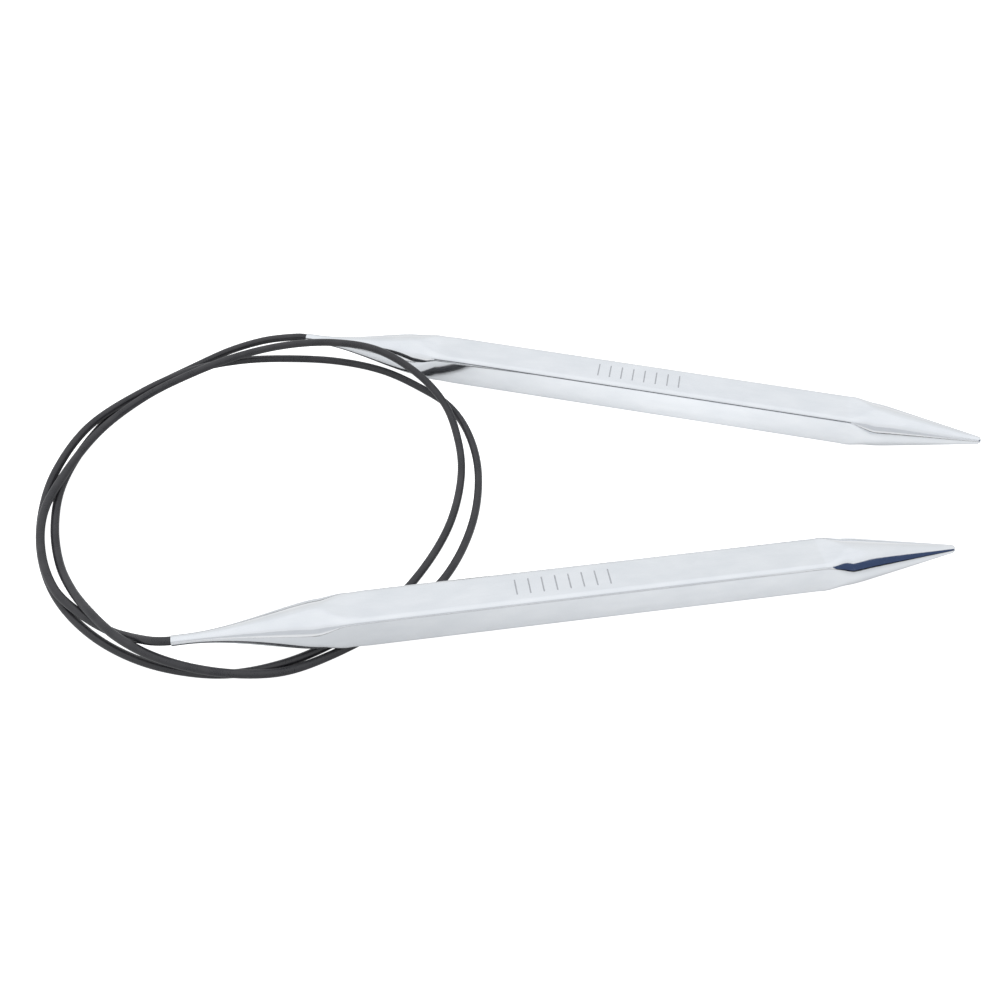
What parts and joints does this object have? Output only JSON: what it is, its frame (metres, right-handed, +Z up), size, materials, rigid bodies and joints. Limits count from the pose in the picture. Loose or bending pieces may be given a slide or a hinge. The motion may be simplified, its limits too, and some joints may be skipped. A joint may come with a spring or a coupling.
{
  "type": "circular knitting needle",
  "caption": "Circular knitting needle: hollow square metal needles with swept necks and conical points, joined by a long flexible cable that lies in loops.",
  "frame": {"origin": "centre of the two needles' footprint, on the surface that they lie on", "axes": "+X runs along the needles towards their points, +Y runs from the near needle to the far one, +Z is up"},
  "size_m": [0.1668, 0.0733, 0.0095],
  "materials": {
    "nickel_plate": "polished nickel plating",
    "ferrule_brass": "plain",
    "cable_nylon": "satin"
  },
  "bodies": {
    "cable": {"cable": "cable_nylon"},
    "near_lead": {"near_cable_lead": "cable_nylon"},
    "near_needle": {"near_needle": "nickel_plate", "near_ferrule": "ferrule_brass", "near_cable_end": "cable_nylon"},
    "far_lead": {"far_cable_lead": "cable_nylon"},
    "far_needle": {"far_needle": "nickel_plate", "far_ferrule": "ferrule_brass", "far_cable_end": "cable_nylon"}
  },
  "joints": [
    {"name": "near_swing", "type": "hinge", "parent": "cable", "child": "near_lead", "pos_m": [-0.0724, -0.0339, 0.0052], "axis": [0, 0, 1], "range_deg": [-30, 6], "stiffness_Nm_per_rad": 0.015},
    {"name": "near_lift", "type": "hinge", "parent": "near_lead", "child": "near_needle", "pos_m": [-0.06889, -0.03437, 0.00589], "axis": [0.1452, -0.9894, 0], "range_deg": [0, 30], "stiffness_Nm_per_rad": 0.015},
    {"name": "far_swing", "type": "hinge", "parent": "cable", "child": "far_lead", "pos_m": [-0.0602, 0.0339, 0.0038], "axis": [0, 0, 1], "range_deg": [0, 30], "stiffness_Nm_per_rad": 0.015},
    {"name": "far_lift", "type": "hinge", "parent": "far_lead", "child": "far_needle", "pos_m": [-0.05649, 0.03375, 0.004], "axis": [-0.2079, -0.9781, 0], "range_deg": [0, 30], "stiffness_Nm_per_rad": 0.015}
  ]
}
